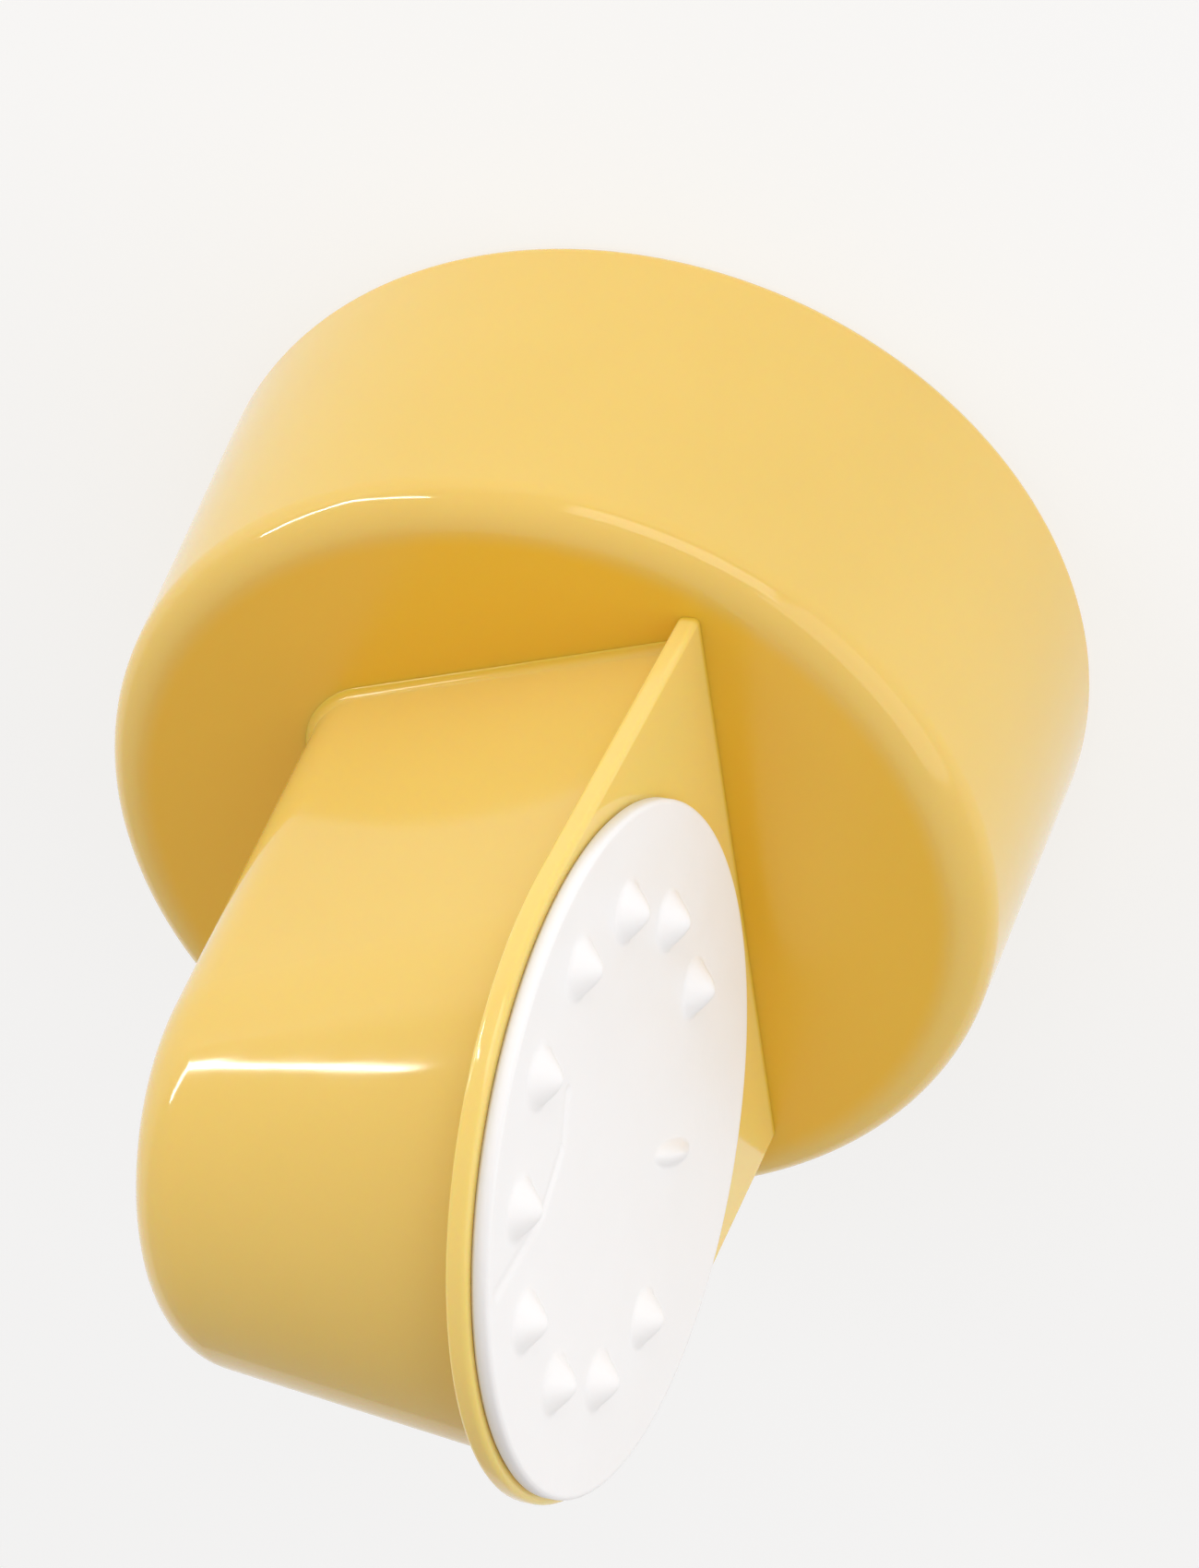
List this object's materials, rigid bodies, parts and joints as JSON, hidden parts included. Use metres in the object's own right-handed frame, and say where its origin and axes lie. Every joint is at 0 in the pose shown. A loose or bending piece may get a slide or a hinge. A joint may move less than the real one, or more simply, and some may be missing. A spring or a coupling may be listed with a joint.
{
  "type": "one-way valve head",
  "caption": "Round push-on socket with a hollow tombstone-shaped valve housing and a flanged seat, closed by a thin snap-in membrane whose free part lifts.",
  "frame": {"origin": "centre of the rim of the socket's mouth, on the surface the part stands on", "axes": "+Z along the socket's axis from its mouth to its closed end and on to the housing's end; +X the way the seat's face looks; +Y across the seat"},
  "size_m": [0.0272, 0.0272, 0.0312],
  "materials": {
    "yellow_plastic": "glossy moulded polypropylene",
    "white_silicone": "satin white silicone"
  },
  "bodies": {
    "head": {"socket_cup": "yellow_plastic", "valve_housing": "yellow_plastic", "seat_plate": "yellow_plastic"},
    "membrane": {"membrane_root": "white_silicone", "membrane_bulb": "white_silicone"},
    "flap": {"membrane_flap": "white_silicone"}
  },
  "joints": [
    {"name": "membrane_pull", "type": "slide", "parent": "head", "child": "membrane", "axis": [0.9968, 0, 0.0802], "range_m": [0, 0.0045], "deforming": ["membrane_bulb"]},
    {"name": "flap_lift", "type": "hinge", "parent": "membrane", "child": "flap", "pos_m": [0.00516, -0.00127, 0.0206], "axis": [0.0567, 0.7071, -0.7048], "range_deg": [0, 30], "stiffness_Nm_per_rad": 0.00005, "springref_deg": -8.59}
  ]
}
